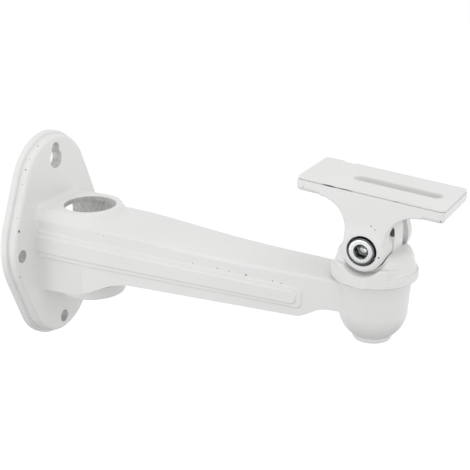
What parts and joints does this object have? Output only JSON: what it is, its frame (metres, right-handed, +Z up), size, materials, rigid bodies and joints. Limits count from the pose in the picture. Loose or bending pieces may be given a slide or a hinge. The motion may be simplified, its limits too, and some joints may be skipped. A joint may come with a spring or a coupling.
{
  "type": "camera wall bracket",
  "caption": "Cast wall bracket for a small camera: oval wall plate, tapered arm with a cable bore, and a swivel head that carries a tilting, slotted camera plate.",
  "frame": {"origin": "centre of the wall plate's back face", "axes": "+X out from the wall along the arm, +Z up, Y across; the arm is the same on both sides of Y = 0"},
  "size_m": [0.2308, 0.085, 0.1173],
  "materials": {
    "white_casting": "white powder coat on cast aluminium",
    "bright_steel": "plated steel"
  },
  "bodies": {
    "arm": {"bracket_arm": "white_casting"},
    "head": {"swivel_head": "white_casting", "pan_screw": "bright_steel", "pan_spring_washer": "bright_steel"},
    "plate": {"camera_plate": "white_casting", "tilt_screw": "bright_steel", "tilt_spring_washer": "bright_steel", "tilt_nut": "bright_steel"}
  },
  "joints": [
    {"name": "pan", "type": "hinge", "parent": "arm", "child": "head", "pos_m": [0.1923, 0, 0.009], "axis": [0, 0, 1], "continuous": true},
    {"name": "tilt", "type": "hinge", "parent": "head", "child": "plate", "pos_m": [0.1923, 0, 0.0276], "axis": [0, 1, 0], "range_deg": [-50.19, 39.81]}
  ]
}
